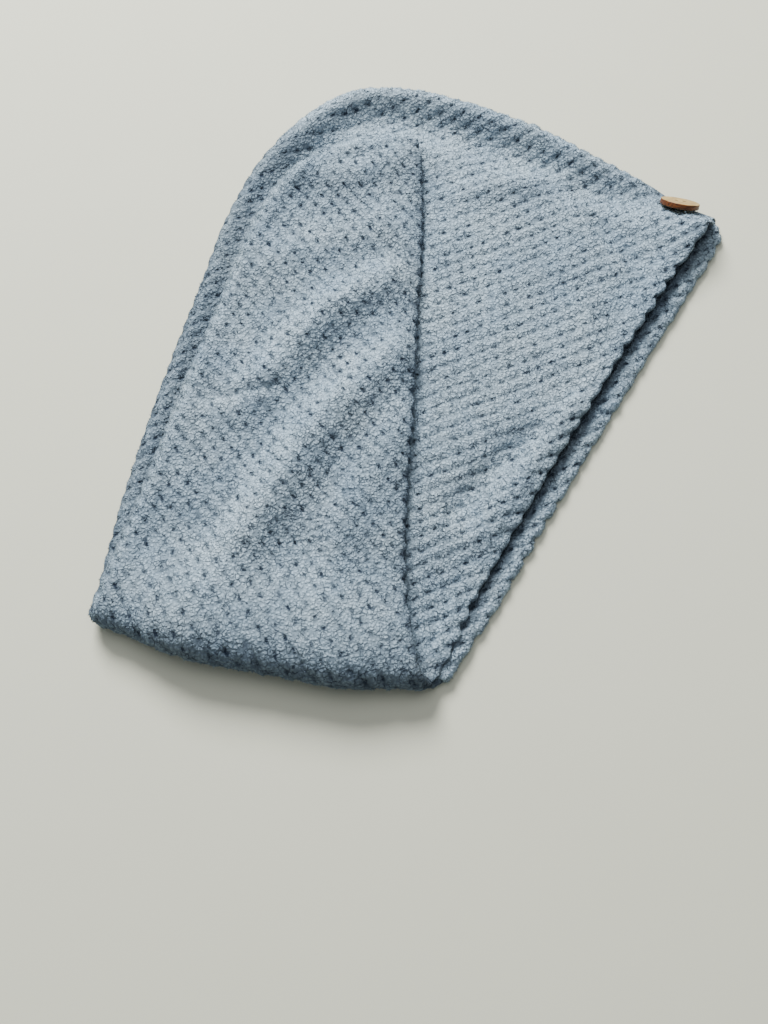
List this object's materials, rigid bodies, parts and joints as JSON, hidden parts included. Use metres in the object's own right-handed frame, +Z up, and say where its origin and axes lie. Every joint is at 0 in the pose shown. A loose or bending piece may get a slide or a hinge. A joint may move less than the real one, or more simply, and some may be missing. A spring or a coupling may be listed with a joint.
{
  "type": "hair towel",
  "caption": "Folded fleece hair towel: a hollow two-panel head pocket with its pointed tail turned back over it along one soft fold, and a round wooden button at the nape.",
  "frame": {"origin": "on the table, under the middle of the lying towel's box", "axes": "+Z up; the tail's straight edge runs along Y, with the crown towards +Y and the fold towards -Y; the nape and its button are at +X"},
  "size_m": [0.334, 0.3662, 0.0279],
  "materials": {
    "fleece": "thick coral fleece in small puffs, matt with a soft sheen",
    "wood": "light turned wood with a dark scorched edge, satin"
  },
  "bodies": {
    "root": {"left_panel": "fleece", "right_panel": "fleece", "button": "wood"}
  },
  "joints": []
}
